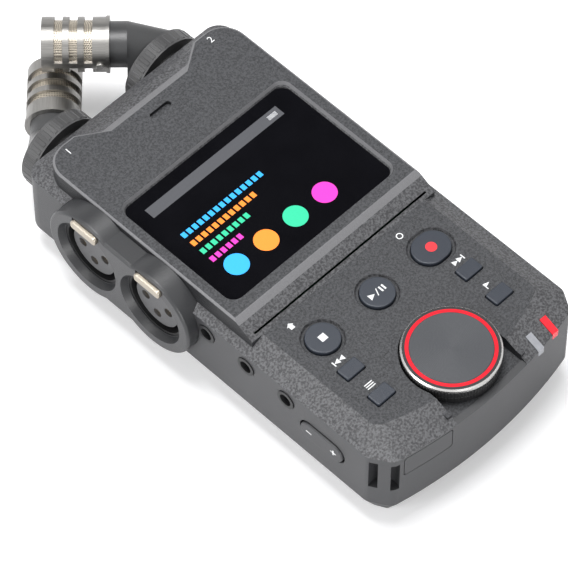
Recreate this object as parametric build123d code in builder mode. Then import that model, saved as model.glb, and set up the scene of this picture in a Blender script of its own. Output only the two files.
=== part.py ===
from build123d import *
import os

os.makedirs("parts", exist_ok=True)

# Portable field recorder, lying on its back.
# Origin: mouth of the tripod socket, on the flat back. +X is the recorder's right, +Y points to the
# microphones, +Z comes out of the face. All sizes in mm.

# ---------------------------------------------------------------- driving dimensions: case
body_half_width = 35.0
body_front_y = -81.5            # middle of the bowed front end wall
body_rear_y = 50.0              # rear end wall, behind the microphones
corner_side_y = -72.0           # where each side wall turns into the front corner
corner_end = (31.5, -77.8)      # where the front corner meets the bowed end wall
corner_radius = 3.0
rear_corner_radius = 5.0
parting_z = 28.3                # joint between the two case halves
wall = 2.0
floor_thickness = 1.8
belly_height = 8.5              # the sides draw in below this height
belly_inset = 4.5
face_z = 31.7                   # flat field that carries the buttons
face_half_width = 28.8
face_corner_y = -67.4
face_end = (27.3, -69.2)
face_front_y = -74.5
face_corner_radius = 1.2
face_thickness = 2.0
face_rear_y = -30.0             # foot of the slope up to the deck
deck_z = 35.2                   # raised deck round the screen
deck_half_width = 32.5
deck_front_y = -23.5            # top of the slope
deck_rear_y = 45.5
deck_corner_radius = 7.0
deck_thickness = 2.7
deck_edge_radius = 0.7
fit = 0.1                       # gap between parts that are screwed or clipped together
slide_gap = 0.2                 # gap round parts that move in a straight line
running_gap = 0.05              # radial gap of turning fits

# ---------------------------------------------------------------- driving dimensions: details
notch_top_y = 39.7              # bevel between the two microphone pods
notch_half_width = 12.5
pod_inner_x = 22.0
notch_foot_z = 30.3
screen_centre_y = 0.5
screen_width, screen_height = 57.2, 40.0
screen_corner_radius = 2.5
screen_bevel = 0.7
glass_z = 33.7
glass_thickness = 1.2
glass_margin = 0.7
module_thickness = 2.0
module_width, module_height = 54.0, 39.0
board_z, board_thickness = 19.4, 1.6
key_board_z, key_board_thickness = 24.0, 1.2
switch_height = 2.2
button_travel = 0.5
round_button_radius = 4.6
round_button_dish = 5.8
record_button_stretch = 1.6
flat_button_width, flat_button_depth = 6.1, 4.0
round_button_proud, flat_button_proud = 0.45, 0.8
dial_y, dial_radius, dial_top_z, dial_bottom_z = -66.7, 12.74, 33.95, 28.4
dial_well_radius, dial_well_z = 13.2, 27.9
scoop_half_width = 12.4
shaft_radius = 3.0
socket_y = (23.3, 0.4)          # the two microphone inlets on the left side
socket_z = 21.2
socket_face_x = -38.6
lobe_radius, socket_mouth_radius, socket_bore_radius = 13.8, 10.6, 9.65
socket_insert_radius = 7.3
pin_circle = 4.0
tab_width, tab_height, tab_z = 9.0, 2.6, 32.2
tab_travel = 0.5
jack_y = (-16.4, -30.3, -44.2)
jack_z, jack_hole_radius, jack_collar_radius, jack_depth = 24.2, 1.8, 2.75, 10.0
jack_body_width = 5.6
rocker_y, rocker_z, rocker_length, rocker_height = -56.8, 19.0, 14.4, 6.0
rocker_pocket_depth = 2.2
cell_radius, cell_length, cell_count = 7.2, 50.5, 4
bay_half_width, bay_front_y, bay_rear_y, bay_top_z = 29.3, -72.8, -18.0, 17.6
cover_half_width, cover_front_y, cover_rear_y = 28.6, -72.4, -15.6
tripod_hole_radius, tripod_hole_depth = 2.7, 7.5
strap_post = (-33.2, -76.0)
strap_post_radius, strap_slot_radius = 1.7, 4.0
strap_low_z, strap_high_z = 15.6, 26.4
cap_centre_x, cap_width, cap_height, cap_z = -21.3, 14.4, 7.0, 24.0
light_pipe_x = (18.0, 24.2)
light_pipe_width = 2.0
mic_x, mic_axis_z = 18.5, 17.6
ring_radius, ring_front_y, ring_width = 11.4, 52.2, 4.6
bush_radius, bush_bore = 8.0, 4.5
elbow_y, capsule_offset = 58.0, 7.8
neck_radius, barrel_radius, barrel_start, barrel_end = 6.1, 7.25, 11.1, 28.8
barrel_wall = 0.9
screw_points = ((-27.0, 41.0), (27.0, 41.0), (28.0, -12.0))
card_slot_y, data_port_y, power_slider_y = 29.0, 15.0, -4.0
port_z, slider_z = board_z + 3.4, board_z + 2.2
slider_travel = 3.5
power_switch_length = 10.0


def finish(piece, name):
    """Label a finished piece and write its file."""
    piece.part.label = name
    export_step(piece.part, f"parts/{name}.step")


def case_outline(half_width, side_y, end, front_y, rear_y, front_radius, rear_radius, inset=0.0):
    """Plan of the case: straight sides, cut corners and a bowed front end."""
    with BuildSketch(Plane.XY) as outline:
        with BuildLine():
            arc = ThreePointArc((end[0], end[1]), (0, front_y), (-end[0], end[1]))
            Polyline(
                arc @ 1,
                (-half_width, side_y),
                (-half_width, rear_y),
                (half_width, rear_y),
                (half_width, side_y),
                arc @ 0,
            )
        make_face()
        fillet(outline.vertices().group_by(Axis.Y)[-1], radius=rear_radius)
        fillet(outline.vertices().filter_by(lambda v: v.Y < side_y + 1), radius=front_radius)
        if inset:
            offset(amount=-inset, kind=Kind.INTERSECTION)
    return outline.sketch


def body_outline(inset=0.0):
    """Plan of the bottom case, drawn in by inset."""
    return case_outline(body_half_width, corner_side_y, corner_end, body_front_y, body_rear_y,
                        corner_radius, rear_corner_radius, inset)


def side_plane(x):
    """A plane across the recorder at x, drawn with Y to the right and Z up."""
    return Plane.YZ.offset(x)


def along_y(x, y, z):
    """A plane facing +Y at a point, drawn with X to the right."""
    return Plane(origin=(x, y, z), x_dir=(1, 0, 0), z_dir=(0, 1, 0))


# ---------------------------------------------------------------- shared outlines and cutters
with BuildPart() as lobes:      # two round lobes joined by straight flanks, proud of the left side
    with BuildSketch(side_plane(socket_face_x)):
        for y in socket_y:
            with Locations((y, socket_z)):
                Circle(lobe_radius)
        middle_y = sum(socket_y) / 2
        with Locations((middle_y, socket_z)):
            Rectangle(socket_y[0] - socket_y[1], 1.75 * lobe_radius)
    extrude(amount=-deck_half_width - fit - socket_face_x)
    fillet(lobes.faces().sort_by(Axis.X)[0].edges(), radius=0.8)

with BuildPart() as lobe_space:     # room for the lobes in both case halves
    with BuildSketch(side_plane(socket_face_x - 1)):
        for y in socket_y:
            with Locations((y, socket_z)):
                Circle(lobe_radius + fit)
        with Locations((middle_y, socket_z)):
            Rectangle(socket_y[0] - socket_y[1], 1.75 * lobe_radius + 2 * fit)
    extrude(amount=-deck_half_width - socket_face_x + 1)

with BuildPart() as socket_bores:   # the two inlets' own bores
    with BuildSketch(side_plane(socket_face_x - 1)):
        for y in socket_y:
            with Locations((y, socket_z)):
                Circle(socket_bore_radius)
    extrude(amount=20)

def end_wall_y(x):
    """Where the bowed front end wall stands at x."""
    return body_front_y + (x / corner_end[0]) ** 2 * (corner_end[1] - body_front_y)


with BuildPart() as light_pipe_space:
    for x in light_pipe_x:
        wall_y = end_wall_y(x)
        with BuildSketch(side_plane(x - light_pipe_width / 2 - fit)):
            with BuildLine():
                Polyline(
                    (wall_y + 2.0 + fit, parting_z - 2.0 - fit),
                    (wall_y - 2.0, parting_z - 2.0 - fit),
                    (wall_y - 2.0, parting_z + 4.0),
                    (wall_y + 4.4 + fit, parting_z + 4.0),
                    (wall_y + 4.4 + fit, parting_z - 0.6 - fit),
                    (wall_y + 2.0 + fit, parting_z - 0.8 - fit),
                    close=True,
                )
            make_face()
        extrude(amount=light_pipe_width + 2 * fit)

# ---------------------------------------------------------------- bottom case
ledge_half_y = (bay_rear_y - bay_front_y) / 2
bay_middle_y = (bay_front_y + bay_rear_y) / 2
cover_middle_y = (cover_front_y + cover_rear_y) / 2
cover_length = cover_rear_y - cover_front_y
with BuildPart() as bottom_case:
    with BuildSketch(Plane.XY):
        add(case_outline(body_half_width - belly_inset, corner_side_y + belly_inset / 3,
                         (corner_end[0] - 0.6 * belly_inset, corner_end[1] + 0.9 * belly_inset),
                         body_front_y + belly_inset, body_rear_y - 2,
                         corner_radius / 2, rear_corner_radius - 1))
    with BuildSketch(Plane.XY.offset(belly_height)):
        add(body_outline())
    loft(ruled=True)
    with BuildSketch(Plane.XY.offset(belly_height)):
        add(body_outline())
    extrude(amount=parting_z - belly_height)
    # main hollow above the battery bay and behind it
    with BuildSketch(Plane.XY.offset(bay_top_z + floor_thickness)):
        add(body_outline(wall))
    extrude(amount=parting_z, mode=Mode.SUBTRACT)
    rear_hollow = body_rear_y - wall - bay_rear_y - wall
    with BuildSketch(Plane.XY.offset(floor_thickness)):
        with Locations((0, bay_rear_y + wall + rear_hollow / 2)):
            RectangleRounded(2 * (body_half_width - belly_inset - wall), rear_hollow, 0.5)
    extrude(amount=parting_z, mode=Mode.SUBTRACT)
    # battery bay, open at the back, and the seat of its cover
    with BuildSketch(Plane.XY):
        with Locations((0, bay_middle_y)):
            RectangleRounded(2 * bay_half_width, 2 * ledge_half_y, 3.0)
    extrude(amount=bay_top_z, mode=Mode.SUBTRACT)
    with BuildSketch(Plane.XY):
        with Locations((0, cover_middle_y)):
            RectangleRounded(2 * (cover_half_width + slide_gap), cover_length + 2 * slide_gap, 3.0)
    extrude(amount=floor_thickness, mode=Mode.SUBTRACT)
    # strap corner: solid behind, with a curved passage round a post
    with BuildSketch(Plane.XY.offset(bay_top_z)):
        with Locations(strap_post):
            Circle(strap_slot_radius + 1.4)
        add(body_outline(0.0), mode=Mode.INTERSECT)
    extrude(amount=parting_z - 1.5 - bay_top_z)
    with BuildSketch(Plane.XY.offset(strap_low_z)):
        with Locations(strap_post):
            Circle(strap_slot_radius)
            Circle(strap_post_radius, mode=Mode.SUBTRACT)
    extrude(amount=strap_high_z - strap_low_z, mode=Mode.SUBTRACT)
    # tripod boss and screw posts
    with BuildSketch(Plane.XY):
        Circle(tripod_hole_radius + 5.3)
    extrude(amount=tripod_hole_depth + 3.0)
    with BuildSketch(Plane.XY):
        Circle(tripod_hole_radius + 2.3 + fit)
    extrude(amount=tripod_hole_depth + 1.0 + fit, mode=Mode.SUBTRACT)
    with BuildSketch(Plane.XY.offset(floor_thickness)):
        with Locations(*screw_points):
            Circle(2.8)
    extrude(amount=board_z - floor_thickness)
    with Locations(*[Location((x, y, 0), (180, 0, 0)) for x, y in screw_points]):
        CounterBoreHole(radius=1.2, counter_bore_radius=2.3, counter_bore_depth=1.6, depth=40)
    # speaker grille
    with BuildSketch(Plane.XY):
        with Locations((12.0, 27.0)):
            with HexLocations(1.5, 5, 5):
                Circle(0.7)
    extrude(amount=floor_thickness + 1, mode=Mode.SUBTRACT)
    # left side: inlets, jacks and volume rocker
    add(lobe_space.part, mode=Mode.SUBTRACT)
    add(socket_bores.part, mode=Mode.SUBTRACT)
    with BuildSketch(side_plane(-body_half_width - 1)):
        for y in jack_y:
            with Locations((y, jack_z)):
                Circle(jack_collar_radius + fit)
    extrude(amount=wall + 1.5, mode=Mode.SUBTRACT)
    with BuildSketch(side_plane(-body_half_width - 1)):
        with Locations((rocker_y, rocker_z)):
            SlotOverall(rocker_length + 1.0, rocker_height + 1.0)
    extrude(amount=rocker_pocket_depth + 1, mode=Mode.SUBTRACT)
    # right side: power slider, data port and card slot
    with BuildSketch(side_plane(body_half_width + 1)):
        with Locations((power_slider_y, slider_z)):
            SlotOverall(13.0, 4.6)
        with Locations((data_port_y, port_z)):
            SlotOverall(9.4, 3.6)
        with Locations((card_slot_y, port_z)):
            Rectangle(12.4, 1.9)
    extrude(amount=-wall - 1.5, mode=Mode.SUBTRACT)
    # front end: adapter port, its cap's seat and the light pipes
    with BuildSketch(along_y(cap_centre_x, body_front_y - 1, cap_z)):
        RectangleRounded(cap_width + 2 * slide_gap, cap_height + 2 * slide_gap, 0.8)
    extrude(amount=4.4, mode=Mode.SUBTRACT)
    with BuildSketch(along_y(cap_centre_x, body_front_y - 1, cap_z)):
        RectangleRounded(cap_width - 2.4, cap_height - 2.4, 0.6)
    extrude(amount=7, mode=Mode.SUBTRACT)
    add(light_pipe_space.part, mode=Mode.SUBTRACT)
    # rear end: holes for the microphone bushes
    for side in (-1, 1):
        with BuildSketch(along_y(side * mic_x, body_rear_y - wall - 1, mic_axis_z)):
            Circle(bush_radius + fit)
        extrude(amount=wall + 2, mode=Mode.SUBTRACT)
finish(bottom_case, "bottom_case")

# ---------------------------------------------------------------- top case
with BuildPart() as notch:      # wedge of air above the bevel between the microphone pods
    with BuildSketch(Plane.XY.offset(notch_foot_z - 2)):
        Polygon(
            (-notch_half_width, notch_top_y),
            (notch_half_width, notch_top_y),
            (pod_inner_x, deck_rear_y + 0.5),
            (pod_inner_x + 2, body_rear_y + 2),
            (-pod_inner_x - 2, body_rear_y + 2),
            (-pod_inner_x, deck_rear_y + 0.5),
            align=None,
        )
    extrude(amount=10)
    run, drop = body_rear_y - notch_top_y, deck_z - notch_foot_z
    split(
        bisect_by=Plane(origin=(0, notch_top_y, deck_z), z_dir=(0, drop, run)),
        keep=Keep.TOP,
    )

with BuildPart() as top_case:
    # sloping skirt up to the button field
    with BuildSketch(Plane.XY.offset(parting_z)):
        add(body_outline())
    with BuildSketch(Plane.XY.offset(face_z)):
        add(case_outline(face_half_width, face_corner_y, face_end, face_front_y, deck_rear_y,
                         face_corner_radius, rear_corner_radius))
    loft(ruled=True)
    # raised deck with a sloping front
    with BuildSketch(Plane.XY.offset(parting_z)):
        with Locations((0, (face_rear_y + deck_rear_y) / 2)):
            deck = Rectangle(2 * deck_half_width, deck_rear_y - face_rear_y)
        fillet(deck.vertices().group_by(Axis.Y)[-1], radius=deck_corner_radius)
    extrude(amount=deck_z - parting_z)
    with BuildSketch(side_plane(-body_half_width)):
        Polygon(
            (face_rear_y - 1, face_z),
            (face_rear_y, face_z),
            (deck_front_y, deck_z),
            (deck_front_y, deck_z + 1),
            (face_rear_y - 1, deck_z + 1),
            align=None,
        )
    extrude(amount=2 * body_half_width, mode=Mode.SUBTRACT)
    add(notch.part, mode=Mode.SUBTRACT)
    deck_rim = top_case.edges().filter_by_position(Axis.Z, deck_z - 0.01, deck_z + 0.01)
    fillet(deck_rim, radius=deck_edge_radius)
    # hollow inside
    with BuildSketch(Plane.XY.offset(parting_z - 1)):
        with Locations((0, (face_rear_y + deck_rear_y - 2 * wall) / 2 + 1)):
            Rectangle(2 * (deck_half_width - wall), deck_rear_y - face_rear_y - 2 * wall)
    extrude(amount=deck_z - deck_thickness - parting_z + 1, mode=Mode.SUBTRACT)
    with BuildSketch(Plane.XY.offset(parting_z - 1)):
        add(case_outline(face_half_width - 1, face_corner_y + 1, (face_end[0] - 2, face_end[1] + 1),
                         face_front_y + 1.4, deck_rear_y - 3, 1.0, 4.0))
    extrude(amount=face_z - face_thickness - parting_z + 1, mode=Mode.SUBTRACT)
    # the well under the dial, open to the front
    with BuildSketch(Plane.XY.offset(dial_well_z - 1.4)):
        with Locations((0, dial_y)):
            Circle(dial_well_radius + 1.4)
        well_run = dial_y - (body_front_y + wall + fit)
        with Locations((0, dial_y - well_run / 2)):
            Rectangle(2 * (scoop_half_width + 1.4), well_run)
        add(body_outline(wall + fit), mode=Mode.INTERSECT)
    extrude(amount=face_z - face_thickness + 0.4 - dial_well_z + 1.4)
    with BuildSketch(Plane.XY.offset(dial_well_z)):
        with Locations((0, dial_y)):
            Circle(dial_well_radius)
        with Locations((0, dial_y - 10)):
            Rectangle(2 * scoop_half_width, 20)
    extrude(amount=8, mode=Mode.SUBTRACT)
    with BuildSketch(Plane.XY.offset(dial_well_z - 2)):
        with Locations((0, dial_y)):
            Circle(shaft_radius + 1.0)
    extrude(amount=3, mode=Mode.SUBTRACT)
    # screen window: a bevelled frame over the glass, and the seat of the glass
    with BuildSketch(Plane.XY.offset(glass_z)):
        with Locations((0, screen_centre_y)):
            RectangleRounded(screen_width, screen_height, screen_corner_radius)
    with BuildSketch(Plane.XY.offset(deck_z)):
        with Locations((0, screen_centre_y)):
            RectangleRounded(screen_width + 2 * screen_bevel, screen_height + 2 * screen_bevel,
                             screen_corner_radius + screen_bevel)
    loft(mode=Mode.SUBTRACT)
    with BuildSketch(Plane.XY.offset(parting_z)):
        with Locations((0, screen_centre_y)):
            Rectangle(screen_width + 2 * (glass_margin + fit), screen_height + 2 * (glass_margin + fit))
    extrude(amount=glass_z - parting_z, mode=Mode.SUBTRACT)
    # sensor slot in the deck
    with BuildSketch(Plane.XY.offset(deck_z - 1.2)):
        with Locations((0, 35.7)):
            SlotOverall(7.0, 1.8)
    extrude(amount=2, mode=Mode.SUBTRACT)
    # button holes, the round ones dished
    with BuildSketch(Plane.XY.offset(parting_z)):
        with Locations((-19.3, -41.4), (0, -41.4)):
            Circle(round_button_radius + slide_gap)
        with Locations((19.3, -41.4)):
            SlotCenterToCenter(record_button_stretch, 2 * (round_button_radius + slide_gap))
        with Locations((-21, -52.8), (21, -52.8), (-21, -63.2), (21, -63.2)):
            RectangleRounded(flat_button_width + 2 * slide_gap, flat_button_depth + 2 * slide_gap, 0.5)
    extrude(amount=face_z, mode=Mode.SUBTRACT)
    for x, stretch in ((-19.3, 0.01), (0, 0.01), (19.3, record_button_stretch)):
        with BuildSketch(Plane.XY.offset(face_z)):
            with Locations((x, -41.4)):
                SlotCenterToCenter(stretch, 2 * round_button_dish)
        extrude(amount=-0.7, taper=30, mode=Mode.SUBTRACT)
    # side cut-outs
    add(lobe_space.part, mode=Mode.SUBTRACT)
    add(socket_bores.part, mode=Mode.SUBTRACT)
    add(light_pipe_space.part, mode=Mode.SUBTRACT)
    # screw bosses
    with BuildSketch(Plane.XY.offset(board_z + board_thickness)):
        with Locations(*screw_points):
            Circle(2.8)
            Circle(1.2, mode=Mode.SUBTRACT)
    extrude(amount=29.4 - board_z - board_thickness)
finish(top_case, "top_case")

# ---------------------------------------------------------------- screen, boards and switches
glass_low_z = glass_z - glass_thickness
with BuildPart() as screen_glass:
    with BuildSketch(Plane.XY.offset(glass_low_z)):
        with Locations((0, screen_centre_y)):
            RectangleRounded(screen_width + 2 * glass_margin, screen_height + 2 * glass_margin, 1.0)
    extrude(amount=glass_thickness)
finish(screen_glass, "screen_glass")

with BuildPart() as display_module:
    with BuildSketch(Plane.XY.offset(glass_low_z - module_thickness)):
        with Locations((0, screen_centre_y)):
            RectangleRounded(module_width, module_height, 0.8)
    extrude(amount=module_thickness)
finish(display_module, "display_module")

board_top = board_z + board_thickness
with BuildPart() as main_board:
    with BuildSketch(Plane.XY.offset(board_z)):
        front, middle, rear = -70.5, -11.6, 45.0
        with Locations((0.6, (front + middle) / 2)):
            Rectangle(64.0, middle - front)
        with Locations((7.5, (middle + rear) / 2)):
            Rectangle(49.6, rear - middle)
        with Locations(strap_post):
            Circle(strap_slot_radius + 2.0, mode=Mode.SUBTRACT)
        with Locations(*screw_points):
            Circle(1.5, mode=Mode.SUBTRACT)
        with Locations((cap_centre_x, front)):
            Rectangle(cap_width, 5.0, mode=Mode.SUBTRACT)
    extrude(amount=board_thickness)
finish(main_board, "main_board")

round_points = ((-19.3, -41.4), (0.0, -41.4), (19.3, -41.4))
flat_points = ((-21.0, -52.8), (21.0, -52.8), (-21.0, -63.2), (21.0, -63.2))
key_board_top = key_board_z + key_board_thickness
with BuildPart() as key_board:
    with BuildSketch(Plane.XY.offset(key_board_z)):
        with Locations((0, -51.6)):
            Rectangle(44.4, 30.0)
        with Locations((0, -57.8)):
            Rectangle(51.0, 17.6)
        with Locations((0, dial_y)):
            Circle(8.0, mode=Mode.SUBTRACT)
    extrude(amount=key_board_thickness)
    with BuildSketch(Plane.XY.offset(board_top)):      # board-to-board connector and stand-offs
        with Locations((0, -50.0)):
            Rectangle(14.0, 4.0)
        with Locations((-20.0, -60.0), (20.0, -60.0)):
            Circle(2.0)
    extrude(amount=key_board_z - board_top)
finish(key_board, "key_board")

with BuildPart() as tact_switches:
    with BuildSketch(Plane.XY.offset(key_board_top)):
        with Locations(*round_points, *flat_points):
            RectangleRounded(4.6, 4.6, 0.4)
    extrude(amount=switch_height - 0.6)
    with BuildSketch(Plane.XY.offset(key_board_top + switch_height - 0.6)):
        with Locations(*round_points, *flat_points):
            Circle(1.2)
    extrude(amount=0.6)
finish(tact_switches, "tact_switches")

# ---------------------------------------------------------------- buttons
stem_foot_z = key_board_top + switch_height + button_travel + 0.1
flange_low_z = face_z - face_thickness - 1.0


def make_button(name, x, y, top_z, cap_profile, flange_profile):
    """A keycap with a stem that presses its switch and a flange that keeps it in the case."""
    with BuildPart() as button:
        with BuildSketch(Plane.XY.offset(flange_low_z)):
            with Locations((x, y)):
                cap_profile()
        extrude(amount=top_z - flange_low_z)
        fillet(button.faces().sort_by(Axis.Z)[-1].edges(), radius=0.3)
        with BuildSketch(Plane.XY.offset(flange_low_z)):
            with Locations((x, y)):
                flange_profile()
        extrude(amount=0.8)
        with BuildSketch(Plane.XY.offset(stem_foot_z)):
            with Locations((x, y)):
                Circle(1.1)
        extrude(amount=flange_low_z - stem_foot_z)
    finish(button, name)


def round_cap():
    Circle(round_button_radius)


def record_cap():
    SlotCenterToCenter(record_button_stretch, 2 * round_button_radius)


def flat_cap():
    RectangleRounded(flat_button_width, flat_button_depth, 0.5)


def round_flange():
    Circle(round_button_radius + 0.9)


def record_flange():
    SlotCenterToCenter(record_button_stretch, 2 * (round_button_radius + 0.9))


def flat_flange():
    Rectangle(flat_button_width + 1.4, flat_button_depth + 1.2)


make_button("stop_button", *round_points[0], face_z + round_button_proud, round_cap, round_flange)
make_button("play_button", *round_points[1], face_z + round_button_proud, round_cap, round_flange)
make_button("record_button", *round_points[2], face_z + round_button_proud, record_cap, record_flange)
for name, point in zip(("back_button", "forward_button", "menu_button", "mark_button"), flat_points):
    make_button(name, *point, face_z + flat_button_proud, flat_cap, flat_flange)

# ---------------------------------------------------------------- dial and its encoder
with BuildPart() as encoder_body:
    with BuildSketch(Plane.XY.offset(board_top)):
        with Locations((0, dial_y)):
            RectangleRounded(11.0, 10.4, 0.5)
    extrude(amount=dial_well_z - 1.4 - 0.6 - board_top)
    with BuildSketch(Plane.XY.offset(board_top + 1.0)):
        with Locations((0, dial_y)):
            Circle(shaft_radius + running_gap)
    extrude(amount=10, mode=Mode.SUBTRACT)
finish(encoder_body, "encoder_body")

dial_plate_z = dial_top_z - 1.3
with BuildPart() as encoder_shaft:
    with BuildSketch(Plane.XY.offset(board_top + 1.1)):
        with Locations((0, dial_y)):
            Circle(shaft_radius)
    extrude(amount=dial_plate_z - 1.0 - board_top - 1.1)
finish(encoder_shaft, "encoder_shaft")

with BuildPart() as dial_body:
    with BuildSketch(Plane.XY.offset(dial_bottom_z)):
        with Locations((0, dial_y)):
            Circle(dial_radius - 0.25)
    extrude(amount=dial_plate_z - dial_bottom_z)
    with BuildSketch(Plane.XY.offset(dial_bottom_z)):
        with Locations((0, dial_y)):
            Circle(dial_radius - 1.8)
            Circle(shaft_radius + 1.8, mode=Mode.SUBTRACT)
    extrude(amount=2.2, mode=Mode.SUBTRACT)
    with BuildSketch(Plane.XY.offset(dial_bottom_z)):
        with Locations((0, dial_y)):
            Circle(shaft_radius + 0.02)
    extrude(amount=dial_plate_z - 1.0 - dial_bottom_z, mode=Mode.SUBTRACT)
finish(dial_body, "dial_body")

ring_inner, ring_outer = 0.83 * dial_radius, 0.905 * dial_radius
with BuildPart() as dial_rim:
    with BuildSketch(Plane.XY.offset(dial_plate_z)):
        with Locations((0, dial_y)):
            Circle(dial_radius)
            Circle(ring_outer + 0.03, mode=Mode.SUBTRACT)
    extrude(amount=1.1)
    chamfer(dial_rim.faces().sort_by(Axis.Z)[-1].edges().sort_by(SortBy.RADIUS)[-1], length=0.4)
finish(dial_rim, "dial_rim")

with BuildPart() as dial_light_ring:
    with BuildSketch(Plane.XY.offset(dial_plate_z)):
        with Locations((0, dial_y)):
            Circle(ring_outer)
            Circle(ring_inner + 0.03, mode=Mode.SUBTRACT)
    extrude(amount=1.15)
finish(dial_light_ring, "dial_light_ring")

with BuildPart() as dial_cap:
    with BuildSketch(Plane.XY.offset(dial_plate_z)):
        with Locations((0, dial_y)):
            Circle(ring_inner)
    extrude(amount=dial_top_z - dial_plate_z)
    fillet(dial_cap.faces().sort_by(Axis.Z)[-1].edges(), radius=0.25)
finish(dial_cap, "dial_cap")

# ---------------------------------------------------------------- microphone inlets on the left side
tab_inner_x = -deck_half_width - fit - tab_travel - 0.1
with BuildPart() as inlet_frame:
    add(lobes.part)
    for y in socket_y:
        with BuildSketch(side_plane(socket_face_x)):
            with Locations((y, socket_z)):
                Circle(socket_mouth_radius)
        extrude(amount=2.0, taper=20, mode=Mode.SUBTRACT)
        with BuildSketch(side_plane(socket_face_x)):
            with Locations((y, socket_z)):
                Circle(socket_bore_radius)
        extrude(amount=8, mode=Mode.SUBTRACT)
        with BuildSketch(side_plane(socket_face_x - 1)):
            with Locations((y, tab_z)):
                Rectangle(tab_width + 2 * slide_gap, tab_height + 2 * slide_gap)
        extrude(amount=9, mode=Mode.SUBTRACT)
finish(inlet_frame, "inlet_frame")

shell_front_x, shell_rear_x, housing_rear_x = -36.4, -29.0, -20.6
with BuildPart() as inlet_shells:
    with BuildSketch(side_plane(shell_front_x)):
        for y in socket_y:
            with Locations((y, socket_z)):
                Circle(socket_bore_radius - running_gap)
        for y in socket_y:
            with Locations((y, socket_z)):
                Circle(socket_bore_radius - 0.8, mode=Mode.SUBTRACT)
        for y in socket_y:
            with Locations((y, tab_z)):
                Rectangle(tab_width + 1.0, 2 * (tab_z - socket_z - 7.6), mode=Mode.SUBTRACT)
    extrude(amount=shell_rear_x - shell_front_x)
finish(inlet_shells, "inlet_shells")

pin_places = [
    (y + dy, socket_z + dz)
    for y in socket_y
    for dy, dz in ((pin_circle, 0), (-pin_circle, 0), (0, -pin_circle))
]
with BuildPart() as inlet_inserts:
    with BuildSketch(side_plane(shell_front_x + 0.4)):
        for y in socket_y:
            with Locations((y, socket_z)):
                Circle(socket_insert_radius)
    extrude(amount=shell_rear_x - shell_front_x)
    with BuildSketch(side_plane(shell_rear_x)):
        for y in socket_y:
            with Locations((y, socket_z)):
                Circle(socket_bore_radius - 0.9)
    extrude(amount=housing_rear_x - shell_rear_x)
    with BuildSketch(side_plane(shell_front_x + 0.4)):
        with Locations(*pin_places):
            Circle(1.35)
    extrude(amount=11, mode=Mode.SUBTRACT)
finish(inlet_inserts, "inlet_inserts")

with BuildPart() as inlet_contacts:
    with BuildSketch(side_plane(shell_front_x + 1.4)):
        with Locations(*pin_places):
            Circle(1.3)
            Circle(0.85, mode=Mode.SUBTRACT)
    extrude(amount=9.9)
finish(inlet_contacts, "inlet_contacts")

for number, y in enumerate(socket_y, start=1):
    with BuildPart() as release_tab:
        with BuildSketch(side_plane(tab_inner_x)):
            with Locations((y, tab_z)):
                RectangleRounded(tab_width, tab_height, 0.9)
        extrude(amount=-(tab_inner_x - socket_face_x + 1.0))
        fillet(release_tab.faces().sort_by(Axis.X)[0].edges(), radius=0.4)
    finish(release_tab, f"release_tab_{number}")

# ---------------------------------------------------------------- jacks, rocker and right-side parts
inner_wall_x = -body_half_width + wall
with BuildPart() as audio_jacks:
    for y in jack_y:
        with BuildSketch(side_plane(inner_wall_x)):
            with Locations((y, jack_z)):
                RectangleRounded(jack_body_width, 2 * (jack_z - board_top), 0.4)
        extrude(amount=jack_depth)
        with BuildSketch(side_plane(-body_half_width - 0.3)):
            with Locations((y, jack_z)):
                Circle(jack_collar_radius)
        extrude(amount=wall + 0.3)
        with BuildSketch(side_plane(-body_half_width - 0.3)):
            with Locations((y, jack_z)):
                Circle(jack_hole_radius)
        extrude(amount=wall + jack_depth - 0.7, mode=Mode.SUBTRACT)
finish(audio_jacks, "audio_jacks")

rocker_floor_x = -body_half_width + rocker_pocket_depth
with BuildPart() as volume_rocker:
    with BuildSketch(side_plane(rocker_floor_x - 0.7)):
        with Locations((rocker_y, rocker_z)):
            SlotOverall(rocker_length, rocker_height)
    extrude(amount=-2.0)
    fillet(volume_rocker.faces().sort_by(Axis.X)[0].edges(), radius=0.4)
    with BuildSketch(Plane.XY.offset(rocker_z - rocker_height / 2 + 0.4)):
        with Locations((rocker_floor_x - 0.75, rocker_y)):
            Circle(0.6)
    extrude(amount=rocker_height - 0.8)
finish(volume_rocker, "volume_rocker")

right_wall_x = body_half_width - wall
with BuildPart() as power_slider:
    with BuildSketch(side_plane(right_wall_x - 0.5)):
        with Locations((power_slider_y + slider_travel / 2, slider_z)):
            SlotOverall(8.6, 3.8)
    extrude(amount=wall + 1.0)
    for groove in (-1.6, 0.0, 1.6):
        with BuildSketch(side_plane(body_half_width + 0.2)):
            with Locations((power_slider_y + slider_travel / 2 + groove, slider_z)):
                Rectangle(0.6, 5.0)
        extrude(amount=1.0, mode=Mode.SUBTRACT)
finish(power_slider, "power_slider")

with BuildPart() as power_switch:
    with BuildSketch(side_plane(right_wall_x - 5.0)):
        with Locations((power_slider_y, board_top + 1.6)):
            Rectangle(power_switch_length, 3.2)
    extrude(amount=4.2)
finish(power_switch, "power_switch")

with BuildPart() as data_port:
    with BuildSketch(side_plane(right_wall_x - 6.5)):
        with Locations((data_port_y, port_z)):
            SlotOverall(9.2, 3.4)
            SlotOverall(8.4, 2.6, mode=Mode.SUBTRACT)
    extrude(amount=8.0)
    with BuildSketch(side_plane(right_wall_x - 6.5)):
        with Locations((data_port_y, port_z)):
            SlotOverall(9.2, 3.4)
            Rectangle(6.4, 0.7)
    extrude(amount=1.0)
    with BuildSketch(side_plane(right_wall_x - 6.5)):
        with Locations((data_port_y, port_z)):
            Rectangle(6.4, 0.7)
    extrude(amount=6.5)
finish(data_port, "data_port")

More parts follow.
